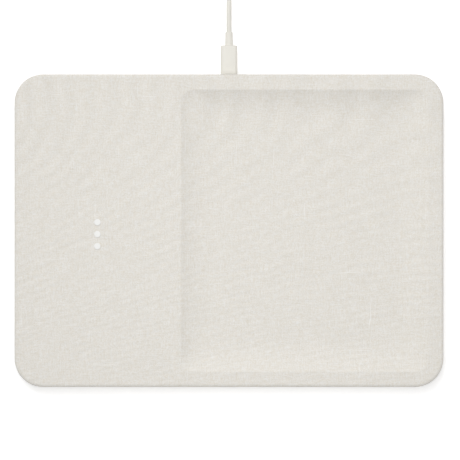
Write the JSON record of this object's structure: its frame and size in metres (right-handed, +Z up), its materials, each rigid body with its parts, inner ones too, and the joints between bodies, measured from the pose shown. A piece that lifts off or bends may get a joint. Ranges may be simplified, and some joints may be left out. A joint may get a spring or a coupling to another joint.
{
  "type": "wireless charging pad",
  "caption": "Linen-covered wireless charging pad with marker dots over the coil, a recessed catch-all tray beside it and a detachable USB-C cable at the rear.",
  "frame": {"origin": "centre of the pad's underside, on the surface it stands on; the free cable isn't counted", "axes": "+Z up, +X to the right across the width, +Y to the rear, where the cable plugs in"},
  "size_m": [0.24, 0.2877, 0.0155],
  "materials": {
    "linen": "plain woven linen, natural off-white, coated",
    "white_plastic": "moulded ABS, matte",
    "dot_white": "soft-touch white",
    "dark_plastic": "moulded ABS, fine texture",
    "mat_rubber": "matte silicone, fine grip pattern",
    "tape": "acrylic foam tape",
    "screw_steel": "zinc plated",
    "ballast_steel": "rolled sheet, zinc plated",
    "copper_wire": "enamelled copper litz",
    "ferrite": "sintered ferrite, dull",
    "board_green": "solder-masked FR4",
    "chip_black": "epoxy moulding",
    "ceramic": "fired ceramic",
    "contact_gold": "gold flash",
    "plug_steel": "nickel plated, satin",
    "cable_cream": "soft TPE, matte",
    "tie_strap": "woven strap"
  },
  "bodies": {
    "pad": {"linen_cover": "linen", "top_shell": "white_plastic", "base_plate": "dark_plastic", "non_slip_mat": "mat_rubber", "mat_tape": "tape", "charge_dot_front": "dot_white", "charge_dot_middle": "dot_white", "charge_dot_rear": "dot_white", "port_bezel": "white_plastic", "transmitter_coil": "copper_wire", "coil_adhesive_pad": "tape", "ferrite_shield": "ferrite", "coil_carrier": "dark_plastic", "coil_leads": "copper_wire", "coil_thermistor": "ceramic", "thermistor_lead": "chip_black", "ballast_plate": "ballast_steel", "ballast_tape": "tape", "control_board": "board_green", "controller_chip": "chip_black", "bridge_transistors": "chip_black", "resonant_capacitors": "ceramic", "input_capacitors": "ceramic", "power_inductor": "ferrite", "chip_passives": "ceramic", "usb_socket_shell": "plug_steel", "usb_socket_tongue": "chip_black", "usb_socket_contacts": "contact_gold", "base_screws": "screw_steel", "carrier_screws": "screw_steel", "board_screws": "screw_steel"},
    "cable": {"plug_shell": "plug_steel", "plug_insert": "chip_black", "plug_contacts": "contact_gold", "plug_overmould": "cable_cream", "plug_strain_relief": "cable_cream", "cord_lead": "cable_cream", "cord_coil": "cable_cream", "cord_tail": "cable_cream", "coil_tie": "tie_strap", "far_plug_shell": "plug_steel", "far_plug_insert": "chip_black", "far_plug_contacts": "contact_gold", "far_plug_overmould": "cable_cream", "far_plug_strain_relief": "cable_cream"}
  },
  "joints": [
    {"name": "plug_pull", "type": "slide", "parent": "pad", "child": "cable", "axis": [0, 1, 0], "range_m": [0, 0.012]}
  ]
}
